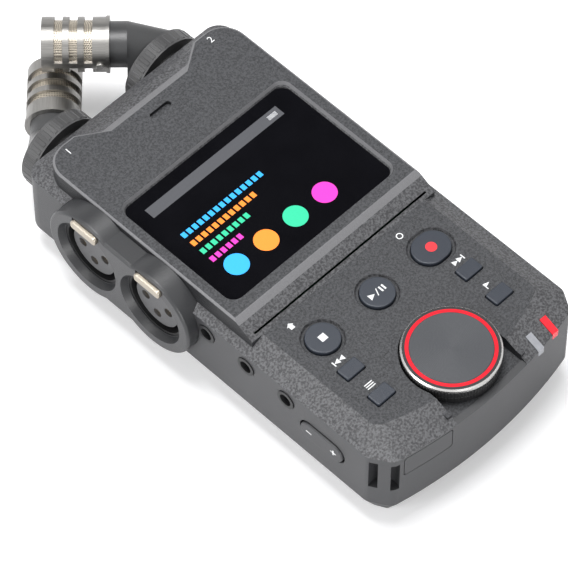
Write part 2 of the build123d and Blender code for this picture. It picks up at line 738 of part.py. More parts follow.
with BuildPart() as card_socket:
    with BuildSketch(side_plane(right_wall_x - 16.0)):
        with Locations((card_slot_y, board_top + 1.3)):
            Rectangle(14.0, 2.6)
        with Locations((card_slot_y, port_z)):
            Rectangle(11.4, 1.2, mode=Mode.SUBTRACT)
    extrude(amount=15.6)
finish(card_socket, "card_socket")

with BuildPart() as memory_card:
    with BuildSketch(side_plane(right_wall_x - 15.0)):
        with Locations((card_slot_y, port_z)):
            Rectangle(11.0, 0.9)
    extrude(amount=16.2)
finish(memory_card, "memory_card")

# ---------------------------------------------------------------- light pipes and front end
lamp_parts = (("peak_light_pipe", light_pipe_x[0]), ("record_light_pipe", light_pipe_x[1]))
for name, x in lamp_parts:
    wall_y = end_wall_y(x)
    with BuildPart() as light_pipe:
        with BuildSketch(side_plane(x - light_pipe_width / 2)):
            with BuildLine():
                Polyline(
                    (wall_y - 0.15, parting_z - 2.0),
                    (wall_y - 0.15, parting_z + 0.15),
                    (wall_y + 4.4, parting_z + 2.1),
                    (wall_y + 4.4, parting_z - 0.6),
                    (wall_y + 2.0, parting_z - 0.8),
                    (wall_y + 2.0, parting_z - 2.0),
                    close=True,
                )
            make_face()
        extrude(amount=light_pipe_width)
    finish(light_pipe, name)

with BuildPart() as indicator_leds:
    with BuildSketch(Plane.XY.offset(board_top)):
        with Locations(*[(x, -71.5) for x in light_pipe_x]):
            Rectangle(1.6, 1.6)
    extrude(amount=1.0)
finish(indicator_leds, "indicator_leds")

with BuildPart() as adapter_cap:
    with BuildSketch(along_y(cap_centre_x, body_front_y - 1, cap_z)):
        RectangleRounded(cap_width, cap_height, 0.8)
    extrude(amount=4.2)
    with BuildSketch(Plane.XY):
        add(body_outline())
    extrude(amount=parting_z + 5, mode=Mode.INTERSECT)
    with BuildSketch(along_y(cap_centre_x, body_front_y + 3.1, cap_z)):
        RectangleRounded(cap_width - 2.8, cap_height - 2.8, 0.6)
    extrude(amount=2.0)
finish(adapter_cap, "adapter_cap")

with BuildPart() as adapter_connector:
    with BuildSketch(along_y(cap_centre_x, body_front_y + 6.2, cap_z - 0.6)):
        Rectangle(11.0, 4.2)
    extrude(amount=3.0)
finish(adapter_connector, "adapter_connector")

# ---------------------------------------------------------------- power: cells, contacts and cover
cell_pitch = 2 * cell_radius + 0.2
cell_x = [(i - (cell_count - 1) / 2) * cell_pitch for i in range(cell_count)]
cell_z = floor_thickness + 0.2 + cell_radius
with BuildPart() as battery_cells:
    for x in cell_x:
        with BuildSketch(along_y(x, bay_middle_y - cell_length / 2, cell_z)):
            Circle(cell_radius)
        extrude(amount=cell_length - 1.0)
        with BuildSketch(along_y(x, bay_middle_y + cell_length / 2 - 1.0, cell_z)):
            Circle(2.7)
        extrude(amount=1.0)
finish(battery_cells, "battery_cells")

with BuildPart() as battery_contacts:
    for x in cell_x:
        with BuildSketch(along_y(x, bay_middle_y + cell_length / 2, cell_z)):
            RectangleRounded(9.0, 9.0, 1.0)
        extrude(amount=bay_rear_y - bay_middle_y - cell_length / 2)
finish(battery_contacts, "battery_contacts")

spring_length = bay_middle_y - cell_length / 2 - bay_front_y
with BuildPart() as battery_springs:
    for x in cell_x:
        with BuildSketch(along_y(x, bay_front_y, cell_z)):
            Circle(4.2)
        extrude(amount=0.4)
        with BuildSketch(along_y(x, bay_front_y + 0.4, cell_z)):
            Circle(3.0)
            Circle(2.2, mode=Mode.SUBTRACT)
        extrude(amount=spring_length - 0.4)
finish(battery_springs, "battery_springs")

cover_low_z = 0.1
with BuildPart() as battery_cover:
    with BuildSketch(Plane.XY.offset(cover_low_z)):
        with Locations((0, cover_middle_y)):
            RectangleRounded(2 * cover_half_width, cover_length, 2.8)
    extrude(amount=floor_thickness - cover_low_z)
    for i in range(5):
        with BuildSketch(Plane.XY.offset(cover_low_z)):
            with Locations((0, cover_front_y + 6 + 1.6 * i)):
                SlotOverall(16.0 - 2.0 * i, 0.8)
        extrude(amount=0.5, mode=Mode.SUBTRACT)
finish(battery_cover, "battery_cover")

# ---------------------------------------------------------------- tripod socket, speaker and screws
with BuildPart() as tripod_insert:
    with BuildSketch(Plane.XY):
        Circle(tripod_hole_radius + 2.3)
    extrude(amount=tripod_hole_depth + 1.0)
    with BuildSketch(Plane.XY):
        Circle(tripod_hole_radius)
    extrude(amount=tripod_hole_depth, mode=Mode.SUBTRACT)
finish(tripod_insert, "tripod_insert")

with BuildPart() as speaker:
    with BuildSketch(Plane.XY.offset(floor_thickness)):
        with Locations((12.0, 27.0)):
            Circle(8.5)
            Circle(7.4, mode=Mode.SUBTRACT)
    extrude(amount=1.0)
    with BuildSketch(Plane.XY.offset(floor_thickness + 1.0)):
        with Locations((12.0, 27.0)):
            Circle(8.5)
    extrude(amount=2.4)
finish(speaker, "speaker")

with BuildPart() as case_screws:
    with BuildSketch(Plane.XY.offset(0.5)):
        with Locations(*screw_points):
            Circle(2.1)
            RegularPolygon(1.1, 6, mode=Mode.SUBTRACT)
    extrude(amount=1.1)
    with BuildSketch(Plane.XY.offset(1.6)):
        with Locations(*screw_points):
            Circle(1.15)
    extrude(amount=24.0)
finish(case_screws, "case_screws")

# ---------------------------------------------------------------- microphones
with BuildPart() as mic_bushes:
    for side in (-1, 1):
        with BuildSketch(along_y(side * mic_x, body_rear_y - wall - 1.6, mic_axis_z)):
            Circle(bush_radius + 1.2)
        extrude(amount=1.6)
        with BuildSketch(along_y(side * mic_x, body_rear_y - wall, mic_axis_z)):
            Circle(bush_radius)
        extrude(amount=ring_front_y + ring_width - 0.4 - body_rear_y + wall)
        with BuildSketch(along_y(side * mic_x, body_rear_y - wall - 1.6, mic_axis_z)):
            Circle(bush_bore)
        extrude(amount=20, mode=Mode.SUBTRACT)
finish(mic_bushes, "mic_bushes")

ring_rear_y = ring_front_y + ring_width
for side, hand in ((-1, "left"), (1, "right")):
    swivel_x = side * mic_x
    capsule_z = mic_axis_z + side * capsule_offset
    aim = Vector(-side, 1, 0).normalized()
    up = Vector(0, 0, side)

    def on_capsule(distance):
        """A plane across the capsule's axis, at a distance from the elbow."""
        centre = Vector(swivel_x, elbow_y, capsule_z) + aim * distance
        return Plane(origin=centre, x_dir=up, z_dir=aim)

    def tube(start, end, outer, inner=0.0, mode=Mode.ADD):
        """A round length of the capsule, from start to end along its axis."""
        with BuildSketch(on_capsule(start)) as section:
            Circle(outer)
            if inner:
                Circle(inner, mode=Mode.SUBTRACT)
        extrude(section.sketch, amount=end - start, mode=mode)

    with BuildPart() as collar:
        with BuildSketch(along_y(swivel_x, ring_front_y, mic_axis_z)):
            Circle(ring_radius)
            Circle(bush_radius + running_gap, mode=Mode.SUBTRACT)
        extrude(amount=ring_width)
    finish(collar, f"{hand}_mic_collar")

    with BuildPart() as arm:
        with BuildSketch(along_y(swivel_x, ring_rear_y, mic_axis_z)):
            Circle(ring_radius - 0.9)
        with BuildSketch(on_capsule(6.5)):
            Circle(neck_radius)
        loft()
        tube(6.5, barrel_start + 1.6, neck_radius)
    finish(arm, f"{hand}_mic_arm")

    with BuildPart() as barrel:
        tube(barrel_start, barrel_end, barrel_radius, barrel_radius - barrel_wall)
        tube(barrel_start, barrel_start + 0.9, barrel_radius + 0.3, barrel_radius - barrel_wall)
        tube(barrel_start, barrel_start + 1.6, barrel_radius, neck_radius + 0.05)
        tube(barrel_end - 0.8, barrel_end, barrel_radius, barrel_radius - 2.2)
        for window in range(3):
            start = barrel_start + 4.4 + window * 3.9
            tube(start, start + 2.2, barrel_radius + 1, barrel_radius - barrel_wall - 0.5, Mode.SUBTRACT)
        with BuildSketch(on_capsule(barrel_start + 4.0)):      # side bars that bridge the windows
            with Locations((0, barrel_radius - barrel_wall / 2), (0, barrel_wall / 2 - barrel_radius)):
                Rectangle(2.0, barrel_wall - 0.1)
        extrude(amount=11.0)
    finish(barrel, f"{hand}_mic_barrel")

    with BuildPart() as mesh:
        tube(barrel_start + 3.6, barrel_end - 1.0, barrel_radius - barrel_wall - 0.05,
             barrel_radius - barrel_wall - 0.45)
        tube(barrel_end - 1.4, barrel_end - 1.0, barrel_radius - barrel_wall - 0.05)
    finish(mesh, f"{hand}_mic_mesh")

    with BuildPart() as capsule:
        tube(barrel_start + 1.7, barrel_start + 8.0, 4.0)
        tube(barrel_start + 8.0, barrel_end - 3.0, barrel_radius - barrel_wall - 0.5)
    finish(capsule, f"{hand}_mic_capsule")

    with BuildPart() as clamp_screw:
        flank = Vector(-side, -1, 0).normalized()
        head = Vector(swivel_x, elbow_y, capsule_z) + aim * (barrel_start + 2.4) + flank * barrel_radius
        with BuildSketch(Plane(origin=head, z_dir=flank)):
            Circle(1.1)
        extrude(amount=0.5)
    finish(clamp_screw, f"{hand}_mic_screw")
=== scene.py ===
import math

import bmesh
import bpy
from mathutils import Matrix, Vector


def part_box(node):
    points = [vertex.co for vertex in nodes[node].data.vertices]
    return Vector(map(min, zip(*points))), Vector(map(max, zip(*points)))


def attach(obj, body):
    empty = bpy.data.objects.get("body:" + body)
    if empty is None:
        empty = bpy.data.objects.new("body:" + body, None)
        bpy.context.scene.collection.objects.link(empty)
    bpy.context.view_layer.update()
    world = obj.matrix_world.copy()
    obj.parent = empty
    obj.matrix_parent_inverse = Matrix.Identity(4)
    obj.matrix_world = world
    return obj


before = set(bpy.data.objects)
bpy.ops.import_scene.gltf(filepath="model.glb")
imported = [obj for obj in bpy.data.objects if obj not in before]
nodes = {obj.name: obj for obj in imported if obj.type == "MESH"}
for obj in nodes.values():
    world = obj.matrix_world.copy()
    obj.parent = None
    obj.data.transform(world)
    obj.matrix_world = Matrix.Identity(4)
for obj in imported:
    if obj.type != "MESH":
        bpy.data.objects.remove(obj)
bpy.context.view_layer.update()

# Portable field recorder: finishes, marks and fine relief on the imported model. Metres throughout.
# +X is the recorder's right, +Y points to the microphones, +Z comes out of the face.

mm = 0.001

# ------------------------------------------------------------------ colours (linear)
charcoal = (0.022, 0.023, 0.026, 1)
charcoal_speck = (0.060, 0.062, 0.068, 1)
shell_grey = (0.050, 0.051, 0.055, 1)
key_blue_grey = (0.030, 0.037, 0.052, 1)
black = (0.006, 0.006, 0.007, 1)
gunmetal = (0.26, 0.255, 0.25, 1)
champagne = (0.60, 0.54, 0.45, 1)
paint_white = (0.86, 0.87, 0.88, 1)
lamp_red = (0.85, 0.015, 0.03, 1)
skirt_dark = (0.030, 0.030, 0.033, 1)
skirt_light = (0.105, 0.106, 0.112, 1)
# Painted highlight greys for the rounded deck edge, standing in for the light it catches.
painted_edge_highlight_dim = (0.10, 0.10, 0.105, 1)
painted_edge_highlight_bright = (0.22, 0.22, 0.23, 1)
print_height = 0.03 * mm
deck_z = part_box("top_case")[1].z
deck_low_edge = deck_z - 1.0 * mm      # below the rounded edge of the raised deck


# ------------------------------------------------------------------ shader maths
class Wire:
    """One socket of a material; arithmetic on it adds the nodes."""

    def __init__(self, finish, socket):
        self.finish = finish
        self.socket = socket

    def maths(self, operation, first, second=0.0):
        return self.finish.node("ShaderNodeMath", {"operation": operation}, [first, second])

    def __add__(self, other):
        return self.maths("ADD", self, other)

    def __sub__(self, other):
        return self.maths("SUBTRACT", self, other)

    def __rsub__(self, other):
        return self.maths("SUBTRACT", other, self)

    def __mul__(self, other):
        return self.maths("MULTIPLY", self, other)

    def __truediv__(self, other):
        return self.maths("DIVIDE", self, other)

    def __gt__(self, other):
        return self.maths("GREATER_THAN", self, other)

    def __lt__(self, other):
        return self.maths("LESS_THAN", self, other)

    __radd__ = __add__
    __rmul__ = __mul__

    def absolute(self):
        return self.maths("ABSOLUTE", self)

    def clipped(self):
        return self.finish.node("ShaderNodeClamp", {}, [self])


class Finish:
    """A material: a Principled shader and the nodes that vary it."""

    def __init__(self, name, colour, roughness=0.5, metallic=0.0, **constants):
        self.material = bpy.data.materials.new(name)
        self.material.use_nodes = True
        self.tree = self.material.node_tree
        self.shader = self.tree.nodes["Principled BSDF"]
        for socket, value in {"Base Color": colour, "Roughness": roughness, "Metallic": metallic,
                              **constants}.items():
            self.shader.inputs[socket].default_value = value

    def node(self, kind, settings, values, output=0):
        """Any node: its settings first, then values or wires for its inputs by place or name."""
        made = self.tree.nodes.new(kind)
        for key, value in settings.items():
            if key == "stops":
                ramp = made.color_ramp
                while len(ramp.elements) < len(value):
                    ramp.elements.new(0.5)
                for element, (place, colour) in zip(ramp.elements, value):
                    element.position = place
                    element.color = colour
            else:
                setattr(made, key, value)
        pairs = values.items() if isinstance(values, dict) else enumerate(values)
        for key, value in pairs:
            if isinstance(value, Wire):
                self.tree.links.new(value.socket, made.inputs[key])
            else:
                made.inputs[key].default_value = value
        return Wire(self, made.outputs[output])

    def set(self, socket, wire):
        self.tree.links.new(wire.socket, self.shader.inputs[socket])

    def place(self, scale=(1, 1, 1), turn=(0, 0, 0), centre=(0, 0, 0)):
        """Object coordinates moved to centre, turned and scaled."""
        coordinates = self.node("ShaderNodeTexCoord", {}, {}, "Object")
        moved = self.node("ShaderNodeVectorMath", {"operation": "SUBTRACT"}, [coordinates, centre])
        return self.node("ShaderNodeMapping", {},
                         {"Vector": moved, "Rotation": turn, "Scale": scale})

    def split(self, vector):
        parts = self.node("ShaderNodeSeparateXYZ", {}, [vector])
        outputs = parts.socket.node.outputs
        return [Wire(self, outputs[axis]) for axis in range(3)]

    def facing(self):
        """How far a surface faces each axis."""
        return self.split(self.node("ShaderNodeTexCoord", {}, {}, "Normal"))

    def noise(self, size, detail=2.0, roughness=0.5, place=None):
        """Noise whose lumps are about size metres."""
        where = place or self.place()
        return self.node("ShaderNodeTexNoise", {}, {
            "Vector": where, "Scale": 1 / size, "Detail": detail, "Roughness": roughness})

    def cells(self, size, output="Distance", place=None, feature="F1"):
        where = place or self.place()
        return self.node("ShaderNodeTexVoronoi", {"feature": feature},
                         {"Vector": where, "Scale": 1 / size}, output)

    def mix(self, factor, first, second):
        made = self.tree.nodes.new("ShaderNodeMix")
        made.data_type = "RGBA"
        for key, value in (("Factor", factor), (6, first), (7, second)):
            socket = made.inputs[0] if key == "Factor" else made.inputs[key]
            if isinstance(value, Wire):
                self.tree.links.new(value.socket, socket)
            else:
                socket.default_value = value
        return Wire(self, made.outputs[2])

    def ramp(self, wire, *stops):
        grey = [(place, (level, level, level, 1)) for place, level in stops]
        return self.node("ShaderNodeValToRGB", {"stops": grey}, [wire])

    def bump(self, height, depth, strength=1.0):
        """Relief of depth metres from a 0 to 1 height."""
        self.set("Normal", self.node("ShaderNodeBump", {}, {
            "Height": height, "Distance": depth, "Strength": strength}))


# ------------------------------------------------------------------ finishes
def grained_top():
    """Speckled charcoal on the flat fields, coarser grain on the slopes and bevels, painted shade on the
    upright walls and a painted highlight on the rounded deck edge.
    """
    finish = Finish("deck_grain", charcoal, 0.5)
    upward = finish.facing()[2]
    height = finish.split(finish.place())[2]
    flat = finish.ramp(upward, (0.975, 0.0), (0.995, 1.0))
    slope = finish.ramp(upward, (0.15, 0.0), (0.35, 1.0))
    # Slopes above deck_low_edge are the rounded deck edge, which gets a painted highlight.
    edge = slope * (height > deck_low_edge)
    fine = finish.noise(0.20 * mm, 3, 0.6)
    blotch = finish.ramp(finish.noise(0.62 * mm, 2, 0.7), (0.42, 0.0), (0.50, 0.55), (0.66, 1.0))
    pit = finish.ramp(finish.noise(0.45 * mm, 2, 0.5), (0.30, 1.0), (0.40, 0.0))
    leather = finish.noise(0.60 * mm, 4, 0.62)
    leather_lift = finish.ramp(leather, (0.42, 0.0), (0.58, 1.0))
    flat_tone = finish.mix(pit, finish.mix(blotch, charcoal, charcoal_speck), black)
    skirt_tone = finish.mix(leather_lift, skirt_dark, skirt_light)
    # Painted shade: upright walls get grain between black and charcoal, darker than the face.
    painted_wall_shade = finish.mix(fine, black, charcoal)
    side_tone = finish.mix(slope, painted_wall_shade, skirt_tone)
    # Painted highlight: the rounded deck edge is lightened to a grained light grey.
    side_tone = finish.mix(edge, side_tone, finish.mix(fine, painted_edge_highlight_dim, painted_edge_highlight_bright))
    finish.set("Base Color", finish.mix(flat, side_tone, flat_tone))
    finish.set("Roughness", 0.42 + 0.14 * flat + 0.12 * fine)
    grain = fine * 0.5 + blotch * 0.5
    finish.bump(flat * grain + (1 - flat) * leather * 1.4, 0.09 * mm)
    return finish.material


def satin_shell(name, colour, grain=0.30, rough=0.42):
    """Moulded plastic with a fine even grain."""
    finish = Finish(name, colour, rough)
    fine = finish.noise(grain * mm, 3, 0.6)
    broad = finish.noise(14 * mm, 1)
    dark = tuple(0.72 * c for c in colour[:3]) + (1,)
    finish.set("Base Color", finish.mix(0.6 * fine + 0.4 * broad, dark, colour))
    finish.set("Roughness", rough - 0.05 + 0.12 * fine)
    finish.bump(fine, 0.035 * mm)
    return finish.material


def spun_dial():
    """Finely turned matte cap of the dial."""
    low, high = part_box("dial_cap")
    centre = (low + high) / 2
    finish = Finish("dial_cap_spun", (0.045, 0.048, 0.055, 1), 0.42)
    x, y, _ = finish.split(finish.place(centre=centre))
    radius = finish.node("ShaderNodeMath", {"operation": "SQRT"}, [x * x + y * y])
    rings = finish.node("ShaderNodeMath", {"operation": "SINE"}, [radius * (2 * math.pi / (0.34 * mm))])
    grain = finish.noise(0.3 * mm, 2)
    finish.set("Base Color", finish.mix(grain, (0.035, 0.037, 0.043, 1), (0.056, 0.060, 0.068, 1)))
    finish.set("Roughness", 0.40 + 0.08 * grain)
    finish.bump(0.3 * rings + 0.4 * grain, 0.02 * mm)
    return finish.material


def metal(name, colour, rough, streak=None, grain=0.2):
    """Plated or blasted metal; streak is a pair of scales that draws the grain out along one way."""
    finish = Finish(name, colour, rough, 1.0)
    where = finish.place(scale=streak) if streak else finish.place()
    fine = finish.noise(grain * mm, 3, 0.6, where)
    broad = finish.noise(3 * mm, 2)
    dark = tuple(0.62 * c for c in colour[:3]) + (1,)
    finish.set("Base Color", finish.mix(0.7 * fine + 0.3 * broad, dark, colour))
    finish.set("Roughness", rough - 0.06 + 0.16 * fine)
    finish.bump(fine, 0.012 * mm)
    return finish.material


def brushed_barrel(side):
    """Gunmetal turned about the barrel's own axis."""
    low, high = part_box(f"{side}_mic_barrel")
    centre = (low + high) / 2
    turn = math.radians(45 if side == "right" else -45)
    finish = Finish(f"{side}_barrel_metal", gunmetal, 0.34, 1.0)
    along = finish.place(turn=(0, 0, turn), centre=centre)
    streaks = finish.node("ShaderNodeMapping", {}, {"Vector": along, "Scale": (0.12, 9, 0.12)})
    fine = finish.noise(0.9 * mm, 4, 0.6, streaks)
    finish.set("Base Color", finish.mix(fine, (0.17, 0.165, 0.16, 1), (0.46, 0.45, 0.43, 1)))
    finish.set("Roughness", 0.26 + 0.18 * fine)
    finish.bump(fine, 0.01 * mm)
    return finish.material


def woven_mesh(side):
    """Fine woven wire round the capsule."""
    low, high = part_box(f"{side}_mic_mesh")
    centre = (low + high) / 2
    turn = math.radians(45 if side == "right" else -45)
    finish = Finish(f"{side}_mesh_weave", champagne, 0.36, 0.9)
    across, along, up = finish.split(finish.place(turn=(0, 0, turn), centre=centre))
    angle = finish.node("ShaderNodeMath", {"operation": "ARCTAN2"}, [up, across])
    turns = angle * (96 / 2)
    steps = along * (math.pi / (0.42 * mm))
    warp = finish.node("ShaderNodeMath", {"operation": "SINE"}, [turns])
    weft = finish.node("ShaderNodeMath", {"operation": "SINE"}, [steps])
    wires = finish.node("ShaderNodeMath", {"operation": "MAXIMUM"},
                        [warp.absolute(), weft.absolute()])
    solid = finish.ramp(wires, (0.55, 0.0), (0.85, 1.0))
    finish.set("Base Color", finish.mix(solid, black, champagne))
    finish.set("Metallic", 0.9 * solid)
    finish.set("Roughness", 0.62 - 0.25 * solid)
    finish.bump(solid, 0.12 * mm)
    return finish.material


def dial_edge():
    """Dark band round the light ring, and a thin silver line on the outer edge."""
    low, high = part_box("dial_rim")
    finish = Finish("dial_rim_edge", black, 0.3)
    x, y, _ = finish.split(finish.place(centre=(low + high) / 2))
    radius = finish.node("ShaderNodeMath", {"operation": "SQRT"}, [x * x + y * y])
    silver = radius > (high.x - low.x) / 2 - 0.45 * mm
    grain = finish.noise(0.3 * mm, 2)
    finish.set("Base Color", finish.mix(silver, finish.mix(grain, black, charcoal), (0.62, 0.61, 0.60, 1)))
    finish.set("Metallic", silver * 0.95)
    finish.set("Roughness", 0.36 - 0.12 * silver + 0.06 * grain)
    return finish.material


def lamp(name, colour, glow):
    """Tinted light pipe or ring, lit from below."""
    finish = Finish(name, colour, 0.22)
    cloud = finish.noise(1.2 * mm, 2)
    dim = tuple(0.7 * c for c in colour[:3]) + (1,)
    tone = finish.mix(cloud, dim, colour)
    finish.set("Base Color", tone)
    finish.set("Emission Color", tone)
    finish.shader.inputs["Emission Strength"].default_value = glow
    return finish.material


def painted(name, colour, glow=0.0):
    """Screen-printed ink, slightly uneven."""
    finish = Finish(name, colour, 0.5)
    cloud = finish.noise(0.35 * mm, 2)
    dim = tuple(0.86 * c for c in colour[:3]) + (1,)
    tone = finish.mix(cloud, dim, colour)
    finish.set("Base Color", tone)
    # The glow lights the screen picture; on the red record dot it is a painted glow.
    if glow:
        finish.set("Emission Color", tone)
        finish.shader.inputs["Emission Strength"].default_value = glow
    return finish.material


def window_glass():
    """Glossy black window, with a faint sheen of handling."""
    finish = Finish("window_black", (0.004, 0.004, 0.005, 1), 0.06)
    smear = finish.noise(9 * mm, 2)
    finish.set("Base Color", finish.mix(smear, (0.003, 0.003, 0.004, 1), (0.006, 0.006, 0.008, 1)))
    finish.set("Roughness", 0.04 + 0.05 * smear)
    return finish.material


def board_green():
    finish = Finish("board_mask", (0.02, 0.12, 0.05, 1), 0.35)
    tracks = finish.cells(1.6 * mm, "Color")
    finish.set("Base Color", finish.mix(0.2 * finish.split(tracks)[0], (0.015, 0.10, 0.045, 1),
                                        (0.05, 0.25, 0.10, 1)))
    return finish.material


def cell_sleeve():
    finish = Finish("cell_sleeve", (0.05, 0.12, 0.30, 1), 0.25)
    band = finish.split(finish.place())[1] > -25 * mm
    finish.set("Base Color", finish.mix(band, (0.03, 0.06, 0.16, 1), (0.62, 0.60, 0.55, 1)))
    return finish.material


def dark_fibre():
    finish = Finish("capsule_felt", (0.015, 0.015, 0.016, 1), 0.9)
    fluff = finish.noise(0.3 * mm, 4)
    finish.set("Base Color", finish.mix(fluff, (0.008, 0.008, 0.009, 1), (0.03, 0.03, 0.032, 1)))
    finish.bump(fluff, 0.1 * mm)
    return finish.material


shell = satin_shell("case_satin", shell_grey)
matte_black = satin_shell("satin_black", (0.012, 0.012, 0.013, 1), 0.25, 0.45)
key_face = satin_shell("key_face", key_blue_grey, 0.25, 0.36)
frame_grey = satin_shell("inlet_grey", (0.040, 0.041, 0.044, 1), 0.28, 0.33)
insert_grey = satin_shell("insert_grey", (0.11, 0.11, 0.115, 1), 0.25, 0.45)
bright = metal("plated_steel", (0.72, 0.71, 0.69, 1), 0.28)
tab_metal = metal("blasted_tab", champagne, 0.34, grain=0.12)
gold = metal("gold_contact", (0.85, 0.62, 0.30, 1), 0.25)
white_ink = painted("white_ink", paint_white)
# The red record dot is ink with a painted glow (emission 0.4).
red_ink_painted_glow = painted("red_ink_painted_glow", (0.80, 0.02, 0.03, 1), 0.4)

finish_of = {
    "top_case": grained_top(),
    "bottom_case": shell,
    "battery_cover": shell,
    "adapter_cap": shell,
    "inlet_frame": frame_grey,
    "volume_rocker": shell,
    "power_slider": key_face,
    "screen_glass": window_glass(),
    "display_module": matte_black,
    "main_board": board_green(),
    "tact_switches": matte_black,
    "encoder_body": bright,
    "encoder_shaft": bright,
    "inlet_shells": matte_black,
    "inlet_inserts": insert_grey,
    "inlet_contacts": gold,
    "audio_jacks": matte_black,
    "power_switch": matte_black,
    "data_port": bright,
    "card_socket": bright,
    "memory_card": matte_black,
    "peak_light_pipe": lamp("clear_lamp", (0.36, 0.37, 0.40, 1), 0.02),
    "record_light_pipe": lamp("red_lamp", lamp_red, 0.22),
    "indicator_leds": lamp("led_body", (0.7, 0.7, 0.65, 1), 0.1),
    "adapter_connector": matte_black,
    "battery_cells": cell_sleeve(),
    "battery_contacts": bright,
    "battery_springs": bright,
    "tripod_insert": gold,
    "speaker": matte_black,
    "case_screws": bright,
    "mic_bushes": matte_black,
    "dial_body": matte_black,
    "dial_rim": dial_edge(),
    "dial_light_ring": lamp("dial_red", lamp_red, 0.35),
    "dial_cap": spun_dial(),
    "release_tab_1": tab_metal,
    "release_tab_2": tab_metal,
}
finish_of["key_board"] = finish_of["main_board"]
felt = dark_fibre()
arm_grey = satin_shell("arm_grey", (0.055, 0.056, 0.058, 1), 0.3, 0.34)
collar_grey = satin_shell("collar_grey", (0.075, 0.075, 0.077, 1), 0.25, 0.32)
for side in ("left", "right"):
    finish_of[f"{side}_mic_collar"] = collar_grey
    finish_of[f"{side}_mic_arm"] = arm_grey
    finish_of[f"{side}_mic_barrel"] = brushed_barrel(side)
    finish_of[f"{side}_mic_mesh"] = woven_mesh(side)
    finish_of[f"{side}_mic_capsule"] = felt
    finish_of[f"{side}_mic_screw"] = bright
for name, node in nodes.items():
    material = finish_of.get(name, key_face)
    node.data.materials.clear()
    node.data.materials.append(material)


# ------------------------------------------------------------------ marks
def flat_piece(name, outlines, place, body, material):
    """Thin flat shapes: outlines in millimetres on the plane that place sets."""
    mesh = bmesh.new()
    for outline in outlines:
        face = mesh.faces.new([mesh.verts.new((x * mm, y * mm, 0)) for x, y in outline])
        face.normal_update()
        if face.normal.z < 0:
            face.normal_flip()
    built = bpy.data.meshes.new(name)
    mesh.to_mesh(built)
    mesh.free()
    built.transform(place)
    return add_piece(name, built, body, material)


def add_piece(name, mesh, body, material):
    mesh.materials.clear()
    mesh.materials.append(material)
    piece = bpy.data.objects.new(name, mesh)
    bpy.context.scene.collection.objects.link(piece)
    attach(piece, body)
    return piece


def number(name, text, height, place, body, material):
    """A plain numeral as a flat mesh."""
    curve = bpy.data.curves.new(name, "FONT")
    curve.body = text
    curve.size = height * mm / 0.7
    curve.align_x = "CENTER"
    curve.align_y = "CENTER"
    holder = bpy.data.objects.new(name + "_curve", curve)
    bpy.context.scene.collection.objects.link(holder)
    bpy.context.view_layer.update()
    mesh = bpy.data.meshes.new_from_object(holder)
    bpy.data.objects.remove(holder)
    mesh.transform(place)
    return add_piece(name, mesh, body, material)


def rectangle(x, y, width, height):
    w, h = width / 2, height / 2
    return [(x - w, y - h), (x + w, y - h), (x + w, y + h), (x - w, y + h)]


def disc(x, y, radius, steps=48):
    turns = [2 * math.pi * k / steps for k in range(steps)]
    return [(x + radius * math.cos(a), y + radius * math.sin(a)) for a in turns]


def triangle(x, y, width, height):
    return [(x - width / 2, y - height / 2), (x + width / 2, y), (x - width / 2, y + height / 2)]


def on_top(x, y, z):
    """Plane facing up at x, y, z metres, just above the surface."""
    return Matrix.Translation((x, y, z + print_height))


def on_left(x, y, z):
    """Plane facing -X, read with +Z up."""
    turn = Matrix(((0, 0, -1, 0), (-1, 0, 0, 0), (0, 1, 0, 0), (0, 0, 0, 1)))
    return Matrix.Translation((x - print_height, y, z)) @ turn


for text, x, y in (("1", -25.7, 42.6), ("2", 24.9, 42.7)):
    number(f"deck_number_{text}", text, 2.0, on_top(x * mm, y * mm, deck_z), "case",
           white_ink)

key_symbols = {
    "stop_button": [rectangle(0, 0, 2.0, 2.0)],
    "play_button": [triangle(-1.9, 0, 1.8, 1.9), [(-0.7, -1.0), (-0.4, -1.0), (0.5, 1.0), (0.2, 1.0)],
                    rectangle(1.2, 0, 0.5, 1.7), rectangle(2.2, 0, 0.5, 1.7)],
    "record_button": [disc(0, 0, 1.5)],
}
for key, shapes in key_symbols.items():
    low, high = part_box(key)
    middle = (low + high) / 2
    ink = red_ink_painted_glow if key == "record_button" else white_ink
    flat_piece(key.replace("_button", "_symbol"), shapes, on_top(middle.x, middle.y, high.z),
               key, ink)


def ring(x, y, radius, width, steps=32):
    """A flat ring as a strip of four-sided faces."""
    strip = []
    for k in range(steps):
        a, b = 2 * math.pi * k / steps, 2 * math.pi * (k + 1) / steps
        strip.append([(x + r * math.cos(t), y + r * math.sin(t)) for r, t in
                      ((radius, a), (radius, b), (radius - width, b), (radius - width, a))])
    return strip


face_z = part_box("stop_button")[1].z - 0.45 * mm
face_marks = {
    "back_button": [rectangle(-1.9, 0, 0.35, 1.6), [(-1.7, 0), (-0.1, 0.8), (-0.1, -0.8)],
                    [(-0.1, 0), (1.5, 0.8), (1.5, -0.8)]],
    "forward_button": [rectangle(1.9, 0, 0.35, 1.6), triangle(-0.7, 0, 1.6, 1.6),
                       triangle(0.9, 0, 1.6, 1.6)],
    "menu_button": [rectangle(0, y, 2.6, 0.3) for y in (-0.65, 0, 0.65)],
    "mark_button": [rectangle(-0.7, 0, 0.3, 1.9), triangle(0.25, 0.4, 1.5, 1.1)],
    "stop_button": [rectangle(0, -0.35, 1.3, 1.1), [(-1.1, 0.2), (1.1, 0.2), (0, 1.1)]],
    "record_button": ring(0, 0, 0.95, 0.3),
}
for key, shapes in face_marks.items():
    low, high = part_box(key)
    gap = 2.6 if key in ("stop_button", "record_button") else 1.4
    flat_piece(key.replace("_button", "_mark"), shapes,
               on_top((low.x + high.x) / 2 - (3 * mm if gap > 2 else 0), high.y + gap * mm, face_z),
               "case", white_ink)

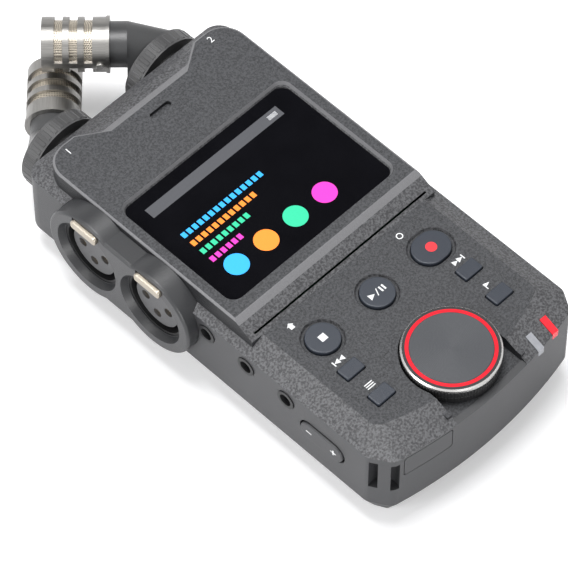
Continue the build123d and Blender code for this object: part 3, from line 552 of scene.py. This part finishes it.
rocker_low, rocker_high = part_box("volume_rocker")
rocker_middle = (rocker_low + rocker_high) / 2
minus_plus = [rectangle(-4.2, 0, 1.9, 0.4), rectangle(4.2, 0, 1.9, 0.4),
              rectangle(4.2, 0.6, 0.4, 0.8), rectangle(4.2, -0.6, 0.4, 0.8)]
flat_piece("rocker_marks", minus_plus, on_left(rocker_low.x, rocker_middle.y, rocker_middle.z),
           "volume_rocker", white_ink)


# ------------------------------------------------------------------ screen picture
def screen_picture():
    """Level meters, a grey strip with a battery mark and coloured channel discs behind the window."""
    low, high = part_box("screen_glass")
    plane = on_top((low.x + high.x) / 2, (low.y + high.y) / 2, high.z)

    def ink(name, colour, glow=0.9):
        return painted(name, colour, glow)

    def block(name, shapes, material):
        return flat_piece(name, shapes, plane, "case", material)

    block("screen_strip", [rectangle(-1.0, 14.4, 46.4, 3.4)], ink("strip_grey", (0.05, 0.052, 0.06, 1), 0.5))
    pale = ink("screen_white", (0.85, 0.86, 0.88, 1))
    block("screen_battery", [rectangle(19.5, 14.4 + s * 0.02, 3.0, 1.3) for s in (1,)], pale)
    colours = (("blue", (0.01, 0.30, 0.72, 1)), ("orange", (0.85, 0.20, 0.01, 1)),
               ("green", (0.01, 0.42, 0.22, 1)), ("magenta", (0.60, 0.02, 0.36, 1)))
    for index, (word, colour) in enumerate(colours):
        block(f"screen_disc_{word}", [disc(-19.5 + 10.4 * index, -12.0, 3.3)], ink(f"disc_{word}", colour))
    for index, (word, colour) in enumerate(colours):
        bars = [rectangle(-22.5 + 1.9 * k, 3.6 - 3.4 * index, 1.3, 1.7) for k in range(15 - 3 * index)]
        block(f"screen_meter_{word}", bars, ink(f"meter_{word}", colour, 0.8))


screen_picture()


# ------------------------------------------------------------------ relief that repeats
def pattern_tree():
    """Copies of one shape round a ring: a Geometry Nodes tree with named sizes."""
    tree = bpy.data.node_groups.new("ring_of_copies", "GeometryNodeTree")
    for name, kind in (("Shape", "NodeSocketObject"), ("Count", "NodeSocketInt"),
                       ("Radius", "NodeSocketFloat"), ("Finish", "NodeSocketMaterial")):
        tree.interface.new_socket(name, in_out="INPUT", socket_type=kind)
    tree.interface.new_socket("Geometry", in_out="OUTPUT", socket_type="NodeSocketGeometry")
    add = tree.nodes.new
    given, result = add("NodeGroupInput"), add("NodeGroupOutput")
    circle, shape, copies = add("GeometryNodeMeshCircle"), add("GeometryNodeObjectInfo"), add(
        "GeometryNodeInstanceOnPoints")
    place, align = add("GeometryNodeInputPosition"), add("FunctionNodeAlignRotationToVector")
    real, coat = add("GeometryNodeRealizeInstances"), add("GeometryNodeSetMaterial")
    align.axis = "X"
    align.pivot_axis = "Z"
    for source, target in (
        (given.outputs["Count"], circle.inputs["Vertices"]),
        (given.outputs["Radius"], circle.inputs["Radius"]),
        (given.outputs["Shape"], shape.inputs["Object"]),
        (circle.outputs["Mesh"], copies.inputs["Points"]),
        (shape.outputs["Geometry"], copies.inputs["Instance"]),
        (place.outputs["Position"], align.inputs["Vector"]),
        (align.outputs["Rotation"], copies.inputs["Rotation"]),
        (copies.outputs["Instances"], real.inputs["Geometry"]),
        (real.outputs["Geometry"], coat.inputs["Geometry"]),
        (given.outputs["Finish"], coat.inputs["Material"]),
        (coat.outputs["Geometry"], result.inputs[0]),
    ):
        tree.links.new(source, target)
    return tree


ring_tree = pattern_tree()


def ring_of(shape_mesh, count, radius, material):
    """The tree's result as a plain mesh round the Z axis."""
    shape = bpy.data.objects.new("ring_shape", shape_mesh)
    carrier = bpy.data.objects.new("ring_carrier", bpy.data.meshes.new("ring_carrier"))
    for item in (shape, carrier):
        bpy.context.scene.collection.objects.link(item)
    modifier = carrier.modifiers.new("ring", "NODES")
    modifier.node_group = ring_tree
    values = {"Shape": shape, "Count": count, "Radius": radius, "Finish": material}
    for item in ring_tree.interface.items_tree:
        if item.in_out == "INPUT":
            modifier[item.identifier] = values[item.name]
    bpy.context.view_layer.update()
    evaluated = carrier.evaluated_get(bpy.context.evaluated_depsgraph_get())
    mesh = bpy.data.meshes.new_from_object(evaluated)
    for item in (shape, carrier):
        bpy.data.objects.remove(item)
    return mesh


def chamfered_block(size, edge):
    """A small block with softened edges, centred on the origin."""
    mesh = bmesh.new()
    bmesh.ops.create_cube(mesh, size=1.0)
    bmesh.ops.scale(mesh, vec=size, verts=mesh.verts)
    bmesh.ops.bevel(mesh, geom=mesh.edges[:], offset=edge, segments=1, affect="EDGES")
    built = bpy.data.meshes.new("block")
    mesh.to_mesh(built)
    mesh.free()
    return built


def joined(meshes):
    mesh = bmesh.new()
    for part in meshes:
        mesh.from_mesh(part)
    built = bpy.data.meshes.new("joined")
    mesh.to_mesh(built)
    mesh.free()
    return built


def dial_knurl():
    """Two rows of small pads round the dial."""
    low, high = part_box("dial_body")
    rim_low, rim_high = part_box("dial_rim")
    radius = (high.x - low.x) / 2
    middle = (low + high) / 2
    rows = []
    for row in (0, 1):
        pad = chamfered_block((0.30 * mm, 0.52 * mm, 1.35 * mm), 0.08 * mm)
        ring = ring_of(pad, 96, radius, matte_black)
        ring.transform(Matrix.Translation((0, 0, (row - 0.5) * 1.75 * mm)))
        rows.append(ring)
    mesh = joined(rows)
    mesh.transform(Matrix.Translation((middle.x, middle.y, (low.z + rim_low.z) / 2)))
    add_piece("dial_knurl", mesh, "dial", matte_black)


def collar_ribs(side):
    """Finger ribs round a microphone's swivel ring."""
    low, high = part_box(f"{side}_mic_collar")
    middle = (low + high) / 2
    radius = (high.z - low.z) / 2
    rib = chamfered_block((0.6 * mm, 1.35 * mm, 3.6 * mm), 0.18 * mm)
    mesh = ring_of(rib, 32, radius - 0.15 * mm, collar_grey)
    mesh.transform(Matrix.Translation(middle) @ Matrix.Rotation(math.pi / 2, 4, "X"))
    add_piece(f"{side}_mic_ribs", mesh, f"{side}_mic", collar_grey)


dial_knurl()
for side in ("left", "right"):
    collar_ribs(side)


# ------------------------------------------------------------------ floor, lights and camera
def white_floor():
    bpy.ops.mesh.primitive_plane_add(size=6)
    floor = bpy.context.object
    floor.name = "floor"
    floor.location.z = -0.1 * mm
    material = bpy.data.materials.new("floor_white")
    material.use_nodes = True
    tree = material.node_tree
    shader = tree.nodes["Principled BSDF"]
    shader.inputs["Base Color"].default_value = (0.86, 0.86, 0.87, 1)
    shader.inputs["Roughness"].default_value = 0.9
    lift = tree.nodes.new("ShaderNodeEmission")
    lift.inputs["Color"].default_value = (1, 1, 1, 1)
    path = tree.nodes.new("ShaderNodeLightPath")
    total = tree.nodes.new("ShaderNodeAddShader")
    seen = tree.nodes.new("ShaderNodeMath")
    seen.operation = "MULTIPLY"
    seen.inputs[1].default_value = 0.30
    tree.links.new(path.outputs["Is Camera Ray"], seen.inputs[0])
    tree.links.new(seen.outputs[0], lift.inputs["Strength"])
    tree.links.new(shader.outputs[0], total.inputs[0])
    tree.links.new(lift.outputs[0], total.inputs[1])
    tree.links.new(total.outputs[0], tree.nodes["Material Output"].inputs["Surface"])
    floor.data.materials.append(material)


def soft_light(name, place, target, size, power):
    light = bpy.data.lights.new(name, "AREA")
    light.shape = "SQUARE"
    light.size = size
    light.energy = power
    lamp_object = bpy.data.objects.new(name, light)
    bpy.context.scene.collection.objects.link(lamp_object)
    lamp_object.location = place
    aim = Vector(target) - Vector(place)
    lamp_object.rotation_euler = aim.to_track_quat("-Z", "Y").to_euler()


def black_card():
    """Dark card above the rear right, so that the window and flat face mirror no light."""
    away = Vector((0.4049, 0.4027, 0.8209)).normalized()
    bpy.ops.mesh.primitive_plane_add(size=0.62)
    card = bpy.context.object
    card.name = "black_card"
    card.location = away * 0.95
    card.rotation_euler = away.to_track_quat("Z", "Y").to_euler()
    card.visible_camera = False
    card.visible_diffuse = False
    card.visible_shadow = False
    material = bpy.data.materials.new("card_black")
    material.use_nodes = True
    shader = material.node_tree.nodes["Principled BSDF"]
    shader.inputs["Base Color"].default_value = (0.01, 0.01, 0.01, 1)
    shader.inputs["Roughness"].default_value = 1.0
    card.data.materials.append(material)


def pale_world():
    world = bpy.data.worlds.new("studio")
    bpy.context.scene.world = world
    world.use_nodes = True
    tree = world.node_tree
    ground = tree.nodes["Background"]
    ground.inputs["Color"].default_value = (1, 1, 1, 1)
    path = tree.nodes.new("ShaderNodeLightPath")
    strength = tree.nodes.new("ShaderNodeMix")
    strength.inputs[2].default_value = 0.42
    strength.inputs[3].default_value = 1.0
    seen = tree.nodes.new("ShaderNodeMath")
    seen.operation = "MAXIMUM"
    tree.links.new(path.outputs["Is Camera Ray"], seen.inputs[0])
    tree.links.new(path.outputs["Is Glossy Ray"], seen.inputs[1])
    tree.links.new(seen.outputs[0], strength.inputs[0])
    tree.links.new(strength.outputs[0], ground.inputs["Strength"])


def studio_camera():
    """Long lens, looking down at the face from the front left."""
    back = Vector((-0.4049, -0.4027, 0.8209)).normalized()
    target = Vector((-3.19, -11.92, 8.9)) * mm
    distance = 1.0801
    right = Vector((0.7053, -0.709, 0)).normalized()
    up = back.cross(right)
    turn = Matrix((right, up, back)).transposed().to_4x4()
    camera = bpy.data.cameras.new("camera")
    camera.lens = 268.3
    camera.sensor_width = 36
    camera.clip_start = 0.01
    holder = bpy.data.objects.new("camera", camera)
    bpy.context.scene.collection.objects.link(holder)
    holder.matrix_world = Matrix.Translation(target + back * distance) @ turn
    bpy.context.scene.camera = holder


white_floor()
pale_world()
soft_light("overhead", (0.02, 0.12, 1.0), (0, 0, 0), 0.45, 9.0)
soft_light("left_side", (-0.85, 0.15, 0.40), (0, 0, 0.02), 0.45, 4.0)
soft_light("front_corner", (-0.35, -0.85, 0.20), (0, -0.05, 0.02), 0.35, 2.5)
black_card()
studio_camera()
bpy.context.scene.view_settings.view_transform = "Standard"
